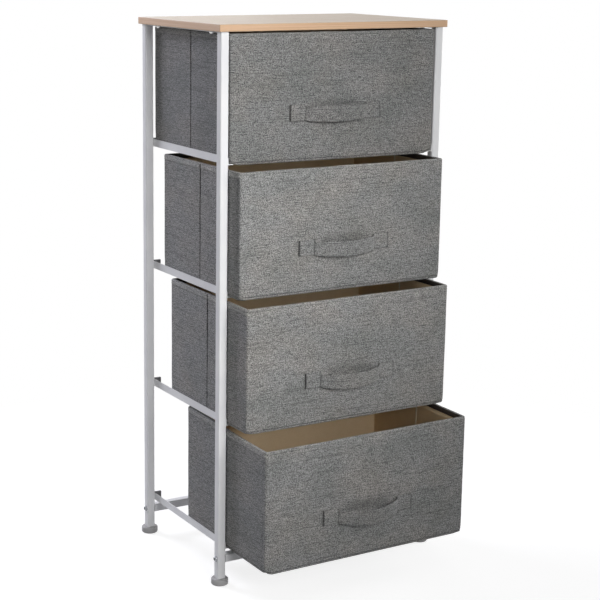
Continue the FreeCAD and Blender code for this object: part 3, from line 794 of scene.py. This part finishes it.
def painted_crease_shade(box, level, column, height):
    """How much painted shade darkens the cover's cloth at a place on a wall: along its hem line, bottom
    seam, corner seams and folds, where shade falls, and just above the strap's loop.
    """
    lines = cover_creases(box, level, column, height)
    front = column[0] == "front"
    share = max((0.12 if front else 0.2) * lines["hem"], 0.6 * lines["bottom"])
    if "fold" in lines:
        share = max(share, 0.5 * lines["corner"], min(1.0, 1.25 * lines["fold"]))
    if front:
        # painted shadow of the strap's loop on the front, just above and behind it
        above = height - STRAP_LEVEL - STRAP_HEIGHT / 2
        point, _ = box.spot(column, 0)
        behind_loop = 1 - smooth_step(abs(point.x - box.middle.x), 0.03, 0.058)
        loop_shadow = smooth_step(above, -0.014, -0.006) * (1 - smooth_step(above, 0.0, 0.011))
        share = max(share, 0.28 * behind_loop * loop_shadow)
    return share


def hem_highlight_share(box, column, height):
    """How much painted highlight a place on the outside has, where the proud hem near the rim would
    catch the light.
    """
    from_rim = box.tall - height
    if column[0] == "front":
        return 0.2 * (1 - smooth_step(from_rim, 0.009, 0.014))
    if from_rim >= SIDE_HEM + 0.0006:
        return 0.0
    return HIGHLIGHT_AT_RIM + (1 - HIGHLIGHT_AT_RIM) * smooth_step(from_rim, 0.001, 0.007)


def cover_columns(wall, straight):
    """Places along a wall that need a column: near its ends, at the seam and at the fold."""
    ends = [0.0014, 0.003, 0.0048]
    if wall in ("front", "back"):
        return ends + [straight - s for s in ends]
    seam = SEAM_BEHIND_CORNER - CORNER
    front = [seam + d for d in (-0.0013, -0.0006, 0, 0.0006, 0.0013, 0.0026)]
    fold = [straight / 2 + side * d for d in (0, 0.0008, 0.0015, 0.0022, 0.0032) for side in (-1, 1)]
    if wall == "left":
        return ends + fold + [straight - s for s in front]
    return front + fold + [straight - s for s in ends]


def round_off(first, second, radius):
    """Draws a place near a square corner in to a round one, by its distances from the two sides."""
    a = max(0.0, 1 - first / radius)
    b = max(0.0, 1 - second / radius)
    return (
        radius * a * (1 - math.sqrt(1 - b * b / 2)),
        radius * b * (1 - math.sqrt(1 - a * a / 2)),
    )


def soften_corner(box, x, y, z):
    """Where a place on the cover goes because the drawer's bottom corners are soft."""
    off_x, off_y = x - box.middle.x, y - box.middle.y
    u, v, w = box.half.x - abs(off_x), box.half.y - abs(off_y), z - box.bottom
    radius = TIGHT_CORNER if off_x > 0 and off_y < 0 else SOFT_CORNER
    if max(u, v, w) >= radius:
        return x, y, z
    on_front = 1 - smooth_step(v, 0.0, radius)
    on_side = 1 - smooth_step(u, 0.0, radius)
    in_x, up_front = (d * on_front for d in round_off(u, w, radius))
    in_y, up_side = (d * on_side for d in round_off(v, w, radius))
    return (
        x - math.copysign(in_x, off_x), y - math.copysign(in_y, off_y), z + max(up_front, up_side)
    )


SEAM_ROWS = (0.0076, 0.0066, 0.0058, 0.0052, 0.0046, 0.004, 0.0034)  # heights by the bottom seam


def cover_profile(box):
    """The cover cut across a wall, as distances inward and heights: the turned-in edge with the
    rim, the outside of the wall, the roll below it and the flat bottom."""
    rim_middle = box.tall - HALF_RIM
    rim = [(WALL - 0.0001, box.tall - 0.0075), (WALL - 0.0001, box.tall - 0.005), (WALL, rim_middle)]
    for i in range(1, 8):
        angle = math.pi * i / 8
        rim.append((HALF_RIM + HALF_RIM * math.cos(angle), rim_middle + HALF_RIM * math.sin(angle)))
    by_hems = [
        hem - HALF_RIM + d
        for hem in (FRONT_HEM, SIDE_HEM) for d in (-0.0005, 0.0001, 0.0007, 0.0013, 0.0022)
    ]
    drops = steps(rim_middle - BOTTOM_ROLL, 0.0068, by_hems)
    outside = [(0, rim_middle - d) for d in drops if rim_middle - d > SEAM_ROWS[0] + 0.0009]
    outside += [(0, height) for height in SEAM_ROWS]
    roll = []
    for i in range(1, 5):
        angle = math.pi / 2 * i / 4
        roll.append((BOTTOM_ROLL * (1 - math.cos(angle)), BOTTOM_ROLL * (1 - math.sin(angle))))
    bottom = [(inward, 0) for inward in (0.012, 0.035, 0.07, 0.105, box.half.y - 0.002)]
    return rim, outside, roll, bottom


BOXES = {}
for level in LEVELS:
    box = Box(*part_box(f"drawer_{level}_cover"), CORNER, 0.0065, cover_columns)
    BOXES[level] = box
    rim, outside, roll, bottom = cover_profile(box)
    profile = rim + outside + roll + bottom
    first_outside = len(rim)
    last_outside = first_outside + len(outside)
    points, crease_shades, hem_highlights = [], [], []
    for index, (inward, height) in enumerate(profile):
        line = []
        for column in box.columns:
            push = seam = hem = 0.0
            if first_outside <= index < last_outside:
                push = cover_push(box, level, column, height)
                # painted shade at the creases and painted highlight on the hem, for this place
                seam = painted_crease_shade(box, level, column, height)
                hem = hem_highlight_share(box, column, height)
            elif index < first_outside:
                hem = HIGHLIGHT_AT_RIM
                outer = max(0.0, 1 - inward / HALF_RIM)
                push = outer * cover_push(box, level, column, box.tall - HALF_RIM)
            spot, _ = box.spot(column, inward, push)
            lift = 0.0
            if index < first_outside + 3:
                lift = 0.0005 * wave(level, spot.x, spot.y, 9.1, 22)
            place = (spot.x, spot.y, box.bottom + height + lift)
            line.append(soften_corner(box, *place) if index >= first_outside else place)
            crease_shades.append(seam)
            hem_highlights.append(hem)
        points.append(line)
    along = run_lengths(profile)
    first_flat = len(profile) - len(bottom)
    mesh = sheet_mesh(f"drawer_{level}_cover_cloth", points, box.across, along, level, first_flat)
    # painted crease shade and painted hem highlight, kept as attributes for the cloth's finish
    for attribute, values in (("seam", crease_shades), ("hem", hem_highlights)):
        toned = mesh.attributes.new(attribute, "FLOAT", "POINT")
        toned.data.foreach_set("value", values)
    cover = show(f"drawer_{level}_cloth_cover", mesh, cover_cloths[level], level)
    thicken(cover, CLOTH_SHOWN)
    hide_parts(f"drawer_{level}_cover")


# ---------------------------------------------------------------- stiffening panels
# Grey board panels stand in the walls of the cover: one in front, one at the back and two half
# panels at each side. They are hidden once the lining is in.

PANELS = ("front_board", "back_board", "left_boards", "right_boards")

grey_board, tree = start_material("grey_pasteboard")
place = join(tree, "TexCoord").outputs["Object"]
pulp = speckle(tree, place, 420, 4, 0.7)
shreds = spread(tree, streaks(tree, place, (300, 300, 900), 2), 0.6, 0.68)
pasteboard = blend(tree, spread(tree, pulp, 0.3, 0.7), shade(150, 144, 134), shade(176, 170, 158))
pasteboard = blend(tree, times(tree, shreds, 0.5), pasteboard, shade(116, 110, 102))
dress(tree, pasteboard, spread(tree, pulp, 0.3, 0.7, 0.8, 0.95), (0.4, 0.0002, pulp))
for level in LEVELS:
    for panel in PANELS:
        finish_node(f"drawer_{level}_{panel}", grey_board)


# ---------------------------------------------------------------- linings
# A thin beige felt, pressed from loose fibre with rows of small sealed points, covers the inside
# of the walls and the bottom. It is sewn to the cover along the rim.

FELT = 0.0007
FELT_BOTTOM = 0.002              # drawer bottom to the felt that the base board lies on
FELT_HELD = 0.2                  # at this height and above the felt is held flat by its seam


def felt_group():
    """Loose fibres, pressed down at rows of sealed points, with tufts and faint stains."""
    group, given, result = start_group(
        "point_sealed_felt",
        {
            "Cloth": ("Vector", None),
            "Felt": ("Color", (0.5, 0.4, 0.3, 1)),
            "Fibre": ("Color", (0.6, 0.5, 0.4, 1)),
            "Pitch": ("Float", 0.0022),
        },
        {"Colour": "Color", "Height": "Float", "Roughness": "Float"},
    )
    cloth = given["Cloth"]
    across, along, _ = join(group, "SeparateXYZ", {0: cloth}).outputs
    turn = calc(group, "DIVIDE", 2 * math.pi, given["Pitch"])
    rows = calc(group, "SINE", times(group, calc(group, "ADD", across, along), turn))
    cross = calc(group, "SINE", times(group, calc(group, "SUBTRACT", across, along), turn))
    sealed = spread(group, times(group, rows, cross), 0.45, 0.8)
    fibres = streaks(group, cloth, (900, 330, 40), 3, 0.65)
    tufts = streaks(group, cloth, (70, 70, 40), 3, 0.6)
    stains = streaks(group, cloth, (12, 12, 40), 2)
    stained = spread(group, stains, 0.4, 0.7, 0, 0.6)
    colour = blend(group, spread(group, fibres, 0.35, 0.7), given["Felt"], given["Fibre"])
    colour = blend(group, spread(group, tufts, 0.4, 0.7, 0, 0.5), colour, given["Fibre"])
    colour = blend(group, stained, colour, (0.9, 0.9, 0.88, 1), "MULTIPLY")
    colour = blend(group, times(group, sealed, 0.35), colour, (0.8, 0.77, 0.72, 1), "MULTIPLY")
    group.links.new(colour, result["Colour"])
    raised = calc(group, "SUBTRACT", times(group, fibres, 0.6), sealed)
    group.links.new(raised, result["Height"])
    group.links.new(spread(group, fibres, 0.3, 0.7, 0.8, 0.95), result["Roughness"])
    return group


felt_texture = felt_group()
FELT_BEIGE = shade(226, 200, 160)
FELT_PALE = shade(236, 213, 178)


def felt_material(name, felt, fibre, on_cad=False):
    """A felt finish, laid by the cloth's own places or, on a CAD node, by the object's."""
    material, tree = start_material(name)
    if on_cad:
        cloth = join(tree, "TexCoord").outputs["Object"]
    else:
        cloth = join(tree, "Attribute", attribute_name="cloth").outputs["Vector"]
    pressed = place_group(tree, felt_texture, {
        "Cloth": cloth, "Felt": felt, "Fibre": fibre, "Pitch": 0.0026,
    })
    dress(tree, pressed["Colour"], pressed["Roughness"], (0.35, 0.0002, pressed["Height"]), {
        "Sheen Weight": 0.08, "Specular IOR Level": 0.2,
    })
    return material


beige_felt = felt_material("beige_felt", FELT_BEIGE, FELT_PALE)


def lining_push(box, level, column, height):
    """The felt hangs a little slack between its seams."""
    point, _ = box.spot(column, WALL)
    slack = 0.00025 + 0.0003 * wave(level + 5, point.x, point.y, height, 21)
    return -slack * smooth_step(height, 0.004, 0.02) * smooth_step(FELT_HELD - height, 0, 0.03)


for level in LEVELS:
    box = Box(*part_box(f"drawer_{level}_cover"), CORNER, 0.0095)
    wall = [(WALL, box.tall - d) for d in steps(box.tall - 0.0045, 0.0095) if d > 0.0065]
    wall += [(WALL + 0.0004, 0.0028), (WALL + 0.0012, FELT_BOTTOM)]
    inwards = (0.012, 0.04, 0.08, 0.11, box.half.y - 0.002)
    profile = wall + [(inward, FELT_BOTTOM - 0.0001) for inward in inwards]
    points = []
    for inward, height in profile:
        line = []
        for column in box.columns:
            push = lining_push(box, level, column, height) if inward == WALL else 0.0
            spot, _ = box.spot(column, inward, push)
            line.append((spot.x, spot.y, box.bottom + height))
        points.append(line)
    along = run_lengths(profile)
    name = f"drawer_{level}_lining_felt"
    mesh = sheet_mesh(name, points, box.across, along, level + 20, len(wall), flip=True)
    felt = show(f"drawer_{level}_felt_lining", mesh, beige_felt, level)
    thicken(felt, FELT)
    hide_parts(f"drawer_{level}_lining")


# ---------------------------------------------------------------- rim binding
# A dark brown ribbed tape, folded over the raw edges of cover and lining and sewn on just inside
# the rim, all the way round.

RIB_PITCH = 0.0011

dark_tape, tree = start_material("dark_ribbed_tape")
cloth = join(tree, "Attribute", attribute_name="cloth").outputs["Vector"]
across, _, _ = join(tree, "SeparateXYZ", {0: cloth}).outputs
ribs = calc(tree, "SINE", times(tree, across, 2 * math.pi / RIB_PITCH))
fuzz = streaks(tree, cloth, (700, 700, 40), 3, 0.6)
tape = blend(tree, spread(tree, fuzz, 0.35, 0.7), shade(44, 38, 34), shade(70, 62, 55))
tape = blend(tree, spread(tree, ribs, -1, 1, 0, 0.3), tape, shade(30, 26, 23))
dress(tree, tape, spread(tree, fuzz, 0.3, 0.7, 0.7, 0.9), (0.4, 0.0002, ribs))

BINDING_SECTION = (              # inward from the drawer's outside, below the rim
    (0.0044, 0.0008), (0.0050, 0.0010), (0.0054, 0.0017), (0.0056, 0.0030), (0.0057, 0.0055),
    (0.0056, 0.0080), (0.0054, 0.0091), (0.0050, 0.0095), (0.0045, 0.0093), (0.0046, 0.0050),
)


def ring_mesh(name, points, across, along, piece):
    """As sheet_mesh, for rows that close on the first one as well."""
    rows, row = len(points), len(points[0])
    corners = [p for line in points for p in line]
    faces, places = [], []
    for r in range(rows):
        below = (r + 1) % rows
        for c in range(row):
            n = (c + 1) % row
            faces.append((r * row + c, r * row + n, below * row + n, below * row + c))
            places += [
                (across[c], along[r], piece), (across[c + 1], along[r], piece),
                (across[c + 1], along[r + 1], piece), (across[c], along[r + 1], piece),
            ]
    return cloth_mesh(name, corners, faces, places)


for level in LEVELS:
    box = Box(*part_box(f"drawer_{level}_cover"), CORNER, 0.009)
    points = []
    for inward, below in BINDING_SECTION:
        free = 0.0006 * smooth_step(below, 0.002, 0.009)
        line = []
        for column in box.columns:
            point, _ = box.spot(column, 0)
            wander = free * wave(level + 9, point.x, point.y, 0.2, 30)
            spot, _ = box.spot(column, inward)
            line.append((spot.x, spot.y, box.rim - below + wander))
        points.append(line)
    along = run_lengths(BINDING_SECTION + BINDING_SECTION[:1])
    mesh = ring_mesh(f"drawer_{level}_binding_tape", points, box.across, along, level)
    show(f"drawer_{level}_rim_binding", mesh, dark_tape, level)


# ---------------------------------------------------------------- fold tapes
# A narrow cream tape runs down the middle of each side wall inside. It is sewn between the two
# half panels, and the wall folds there when the drawer is put away flat.

TAPE_WIDE = 0.0034
TAPE_PROUD = 0.0006
TAPE_TOP = 0.009                 # below the rim
TAPE_FOOT = 0.0045               # above the drawer's bottom
TAPE_SECTION = (                 # along the wall and out from it, as shares of the first two sizes
    (-0.5, -0.25), (-0.46, 0.75), (-0.2, 1), (0.2, 1), (0.46, 0.75), (0.5, -0.25),
)

cream_tape = felt_material("cream_tape", shade(228, 217, 192), shade(240, 232, 212))

for level in LEVELS:
    box = BOXES[level]
    corners, faces, places = [], [], []
    for side in (-1, 1):
        wall_x = box.middle.x + side * (box.half.x - WALL)
        first = len(corners)
        drops = steps(box.tall - TAPE_TOP - TAPE_FOOT, 0.009)
        for drop in drops:
            height = box.rim - TAPE_TOP - drop
            lean = 0.0004 * wave(level, side, height, 0.5, 25)
            for beside, proud in TAPE_SECTION:
                corners.append((
                    wall_x - side * proud * TAPE_PROUD, box.middle.y + beside * TAPE_WIDE + lean, height
                ))
        count = len(TAPE_SECTION)
        for r in range(len(drops) - 1):
            for c in range(count):
                n = (c + 1) % count
                ring = [(r, c), (r, n), (r + 1, n), (r + 1, c)]
                if side > 0:
                    ring.reverse()
                faces.append([first + a * count + b for a, b in ring])
                places += [(TAPE_SECTION[b][0] * TAPE_WIDE, drops[a], level + 30) for a, b in ring]
        for r, turned in ((0, side < 0), (len(drops) - 1, side > 0)):
            cap = [first + r * count + c for c in range(count)]
            faces.append(cap[::-1] if turned else cap)
            places += [(0, drops[r], level + 30)] * count
    mesh = cloth_mesh(f"drawer_{level}_tapes", corners, faces, places)
    tapes = show(f"drawer_{level}_fold_tapes", mesh, cream_tape, level)


# ---------------------------------------------------------------- base boards
# A loose stiff board in each drawer, covered in the same beige felt. It holds the box open, and
# the box folds flat once it is lifted out.

BOARD_ROUNDING = 0.0009

base_felt = felt_material("base_board_felt", shade(206, 180, 143), shade(219, 196, 162), True)
for level in LEVELS:
    finish_node(f"drawer_{level}_base_board", base_felt)
    ease_edges(f"drawer_{level}_base_board", BOARD_ROUNDING, 3)


# ---------------------------------------------------------------- pull straps
# A folded band of the cover's own cloth. Its two flat ends are sewn to the front inside a
# rectangle of stitches, and the part between them bows out and sags a little under its weight.

STRAP_THICK = 0.0022
STRAP_PATCH = 0.03               # the length of each sewn end
STRAP_BOW = {1: 0.0135, 2: 0.0165, 3: 0.019, 4: 0.0193}
STRAP_SAG = {1: 0.0026, 2: 0.0042, 3: 0.0058, 4: 0.0062}
STRAP_PINCH = {1: 0.0045, 2: 0.0055, 3: 0.006, 4: 0.006}


def strap_line(level):
    """The middle of the strap: across the front, out from it, and down."""
    half_loop = STRAP_HALF_SPAN - STRAP_PATCH
    line = [(-STRAP_HALF_SPAN + STRAP_PATCH * i / 8, 0.0, 0.0) for i in range(9)]
    for i in range(1, 64):
        angle = math.pi * i / 64
        out = math.sin(angle) ** 1.3 * STRAP_BOW[level]
        sag = math.sin(angle) ** 1.8 * STRAP_SAG[level]
        line.append((-math.cos(angle) * half_loop, out, sag))
    line += [(STRAP_HALF_SPAN - STRAP_PATCH * (1 - i / 8), 0.0, 0.0) for i in range(9)]
    for _ in range(3):
        inner = [
            tuple((a + 2 * b + c) / 4 for a, b, c in zip(*line[i - 1:i + 2]))
            for i in range(1, len(line) - 1)
        ]
        line = [line[0]] + inner + [line[-1]]
    return line


def strap_pinch(level, across):
    """How far the upper edge is drawn down where the loose part leaves a sewn end."""
    inside = STRAP_HALF_SPAN - STRAP_PATCH - abs(across)
    depth = STRAP_PINCH[level] * (1 if across < 0 else 0.5)
    return depth * smooth_step(inside, -0.0002, 0.0012) * (1 - smooth_step(inside, 0.002, 0.02))


def strap_section():
    """The strap cut across: up the strap, and out from its middle, with folded round edges."""
    half, thick = STRAP_HEIGHT / 2, STRAP_THICK / 2
    flat = [-1, -0.72, -0.4, 0, 0.4, 0.72, 1]
    reach = half - thick
    outer = [(v * reach, thick * (1 - 0.12 * abs(v) ** 3)) for v in flat]
    inner = [(v * reach, -thick) for v in reversed(flat)]
    top = [(reach + thick * math.sin(a), thick * 0.94 * math.cos(a)) for a in (0.8, 1.57, 2.34)]
    foot = [(-reach - thick * math.sin(a), -thick * 0.94 * math.cos(a)) for a in (0.8, 1.57, 2.34)]
    return outer + top + inner + foot


def strap_mesh(level, front, middle_x, middle_z):
    line = strap_line(level)
    runs = run_lengths(line)
    section = strap_section()
    count = len(section)
    corners, faces, places = [], [], []
    for i, (across, out, sag) in enumerate(line):
        ahead = Vector(line[min(i + 1, len(line) - 1)]) - Vector(line[max(i - 1, 0)])
        along = Vector((ahead.x, -ahead.y, -ahead.z)).normalized()
        outward = along.cross(Vector((0, 0, 1))).normalized()
        upward = outward.cross(along).normalized()
        lean = 0.1 * math.sin(math.pi * min(max((across + 0.06) / 0.12, 0), 1))
        outward, upward = (
            outward * math.cos(lean) - upward * math.sin(lean),
            upward * math.cos(lean) + outward * math.sin(lean),
        )
        wrinkle = 0.00035 * noise.noise(Vector((across * 60, level * 3.1, 0)))
        centre = Vector((middle_x + across, front - STRAP_THICK / 2 - 0.00015 - out, middle_z - sag))
        pinch = strap_pinch(level, across)
        for up_it, from_middle in section:
            soft = 0.0003 * noise.noise(Vector((across * 90, up_it * 120, level * 5.3)))
            lowered = up_it - pinch * smooth_step(up_it, -0.004, STRAP_HEIGHT / 2)
            stands_out = from_middle + (soft if out > 0.001 else 0)
            corners.append(tuple(centre + upward * (lowered + wrinkle) + outward * stands_out))
    for r in range(len(line) - 1):
        for c in range(count):
            n = (c + 1) % count
            faces.append((r * count + c, (r + 1) * count + c, (r + 1) * count + n, r * count + n))
            for a, b in ((r, c), (r + 1, c), (r + 1, n), (r, n)):
                places.append((runs[a], section[b][0] + section[b][1] * 0.5, level + 40))
    last = (len(line) - 1) * count
    faces.append(tuple(range(count)))
    places += [(runs[0], p[0], level + 40) for p in section]
    faces.append(tuple(last + c for c in reversed(range(count))))
    places += [(runs[-1], p[0], level + 40) for p in reversed(section)]
    mesh = cloth_mesh(f"drawer_{level}_strap_band", corners, faces, places)
    # painted shade: the turned-under ends, the narrow folded edges, the crease where the loop leaves
    # each sewn end and the loop's middle are darkened
    strap_shade = mesh.attributes.new("seam", "FLOAT", "POINT")
    for r, run in enumerate(runs):
        end = max(0.0, 1 - min(run, runs[-1] - run) / 0.0026)
        crease = ridge(STRAP_HALF_SPAN - STRAP_PATCH - abs(line[r][0]) - 0.0004, 0.0016)
        loop_shade = 0.1 * (1 - smooth_step(abs(line[r][0]), 0.035, 0.06))
        for c, (up_it, _) in enumerate(section):
            edge = smooth_step(abs(up_it), STRAP_HEIGHT / 2 - 0.0009, STRAP_HEIGHT / 2)
            strap_shade.data[r * count + c].value = max(0.8 * end, 0.45 * edge, 0.55 * crease, loop_shade)
    return mesh


for level in LEVELS:
    low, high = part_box(f"drawer_{level}_handle")
    mesh = strap_mesh(level, high.y, (low.x + high.x) / 2, (low.z + high.z) / 2)
    strap = show(f"drawer_{level}_pull_strap", mesh, cover_cloths[level], level)
    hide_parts(f"drawer_{level}_handle")


# ---------------------------------------------------------------- stitching
# Grey twisted polyester thread, three stitches to the centimetre: a rectangle on each end of a
# strap, and one line round the hem of the cover.

THREAD = 0.00034
STITCH = 0.0025
STITCH_PITCH = 0.0034
HEM_STITCH = 0.0016              # from the hem's lower edge up to its line of stitches

thread_grey, tree = start_material("grey_thread")
place = join(tree, "TexCoord").outputs["Object"]
bands = {"Vector": place, "Scale": 900, "Distortion": 2.0}
twist = join(tree, "TexWave", bands, bands_direction="DIAGONAL").outputs["Fac"]
strand = blend(tree, twist, shade(120, 120, 121), shade(178, 178, 177))
dress(tree, strand, spread(tree, twist, 0, 1, 0.6, 0.8), (0.3, 0.0001, twist))


def add_stitch(corners, faces, start, end, out):
    """One stitch: a short length of round thread that dips into the cloth at both ends."""
    way = (end - start).normalized()
    beside = way.cross(out).normalized()
    first = len(corners)
    rings = ((0.06, -0.5, 0.55), (0.3, 0.35, 1), (0.7, 0.35, 1), (0.94, -0.5, 0.55))
    for share, rise, girth in rings:
        centre = start.lerp(end, share) + out * THREAD * rise
        for i in range(6):
            angle = math.pi / 3 * i
            spoke = beside * math.cos(angle) + out * math.sin(angle)
            corners.append(tuple(centre + spoke * THREAD * girth))
    for r in range(3):
        for i in range(6):
            n = (i + 1) % 6
            a, b = first + r * 6, first + (r + 1) * 6
            faces.append((a + i, a + n, b + n, b + i))
    faces.append(tuple(first + i for i in reversed(range(6))))
    faces.append(tuple(first + 18 + i for i in range(6)))


def run_of_stitches(corners, faces, start, end, out):
    count = max(1, round((end - start).length / STITCH_PITCH))
    step = (end - start) / count
    for i in range(count):
        middle = start + step * (i + 0.5)
        half = step.normalized() * STITCH / 2
        add_stitch(corners, faces, middle - half, middle + half, out)


for level in LEVELS:
    corners, faces = [], []
    low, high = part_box(f"drawer_{level}_handle")
    face_y = high.y - STRAP_THICK - 0.0002
    for side in (-1, 1):
        outer = side * (STRAP_HALF_SPAN - 0.003)
        inner = side * (STRAP_HALF_SPAN - STRAP_PATCH + 0.0028)
        below, above = low.z + 0.0032, high.z - 0.0032
        ring = [(outer, below), (inner, below), (inner, above), (outer, above)]
        ring = [Vector((x, face_y, z)) for x, z in ring]
        for i in range(4):
            run_of_stitches(corners, faces, ring[i], ring[(i + 1) % 4], Vector((0, -1, 0)))
    box = BOXES[level]
    for wall, (out, _) in Box.WALLS.items():
        length = box.wall_length(wall) - 2 * CORNER
        below = hem_of(wall) - HEM_STITCH
        count = int(length / STITCH_PITCH)
        for i in range(count):
            ends = []
            for offset in (-0.5, 0.5):
                share = (i + 0.5 + offset * STITCH / STITCH_PITCH) / count
                column = (wall, share, 0.0, 0.0)
                spot, _ = box.spot(column, 0)
                height = box.tall - below - hem_wander(level, spot)
                push = cover_push(box, level, column, height)
                spot, _ = box.spot(column, 0, push + 0.0001)
                ends.append(Vector((spot.x, spot.y, box.bottom + height)))
            add_stitch(corners, faces, *ends, Vector((*out, 0)))
    mesh = bpy.data.meshes.new(f"drawer_{level}_thread")
    mesh.from_pydata(corners, [], faces)
    mesh.shade_smooth()
    stitches = show(f"drawer_{level}_stitches", mesh, thread_grey, level)
